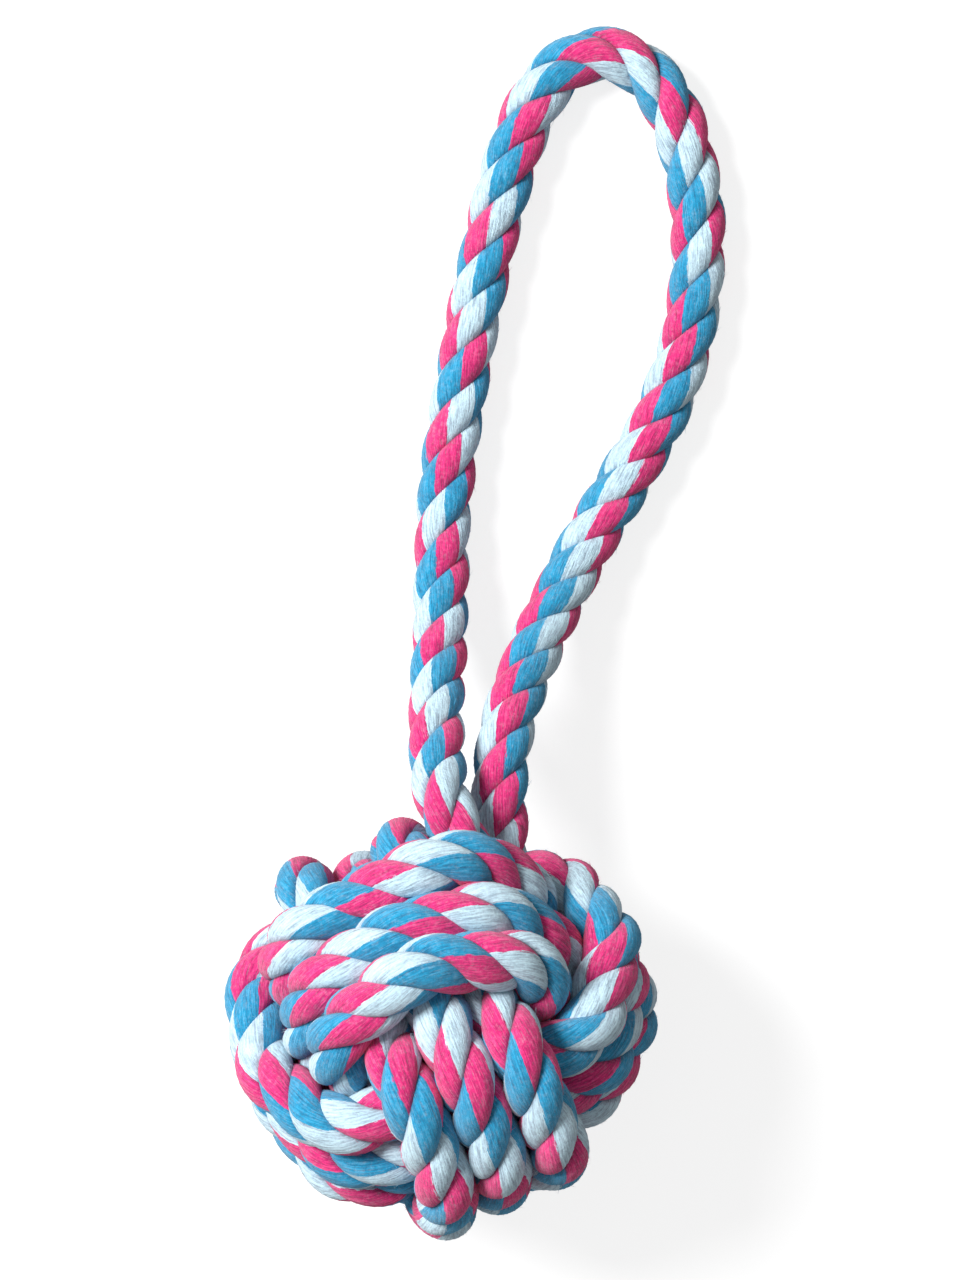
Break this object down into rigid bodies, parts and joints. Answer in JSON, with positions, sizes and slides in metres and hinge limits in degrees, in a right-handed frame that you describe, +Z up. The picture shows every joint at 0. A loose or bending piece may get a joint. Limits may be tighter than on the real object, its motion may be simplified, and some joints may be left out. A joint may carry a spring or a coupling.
{
  "type": "rope dog toy",
  "caption": "Rope dog toy: a ball knotted from thick twisted cotton rope round a rubber core, with a loop handle of the same rope.",
  "frame": {"origin": "on the surface that the toy lies on, under the middle of the knotted ball", "axes": "+Z up from the surface, +Y from the ball towards the handle loop, +X to the right seen from above with the loop away from the viewer"},
  "size_m": [0.1205, 0.2957, 0.0944],
  "materials": {
    "cotton_rope": "matte twisted cotton in pink, turquoise and pale blue",
    "core_rubber": "matte"
  },
  "bodies": {
    "root": {"first_turns": "cotton_rope", "second_turns": "cotton_rope", "third_turns": "cotton_rope", "core_ball": "core_rubber", "handle_loop": "cotton_rope"}
  },
  "joints": []
}
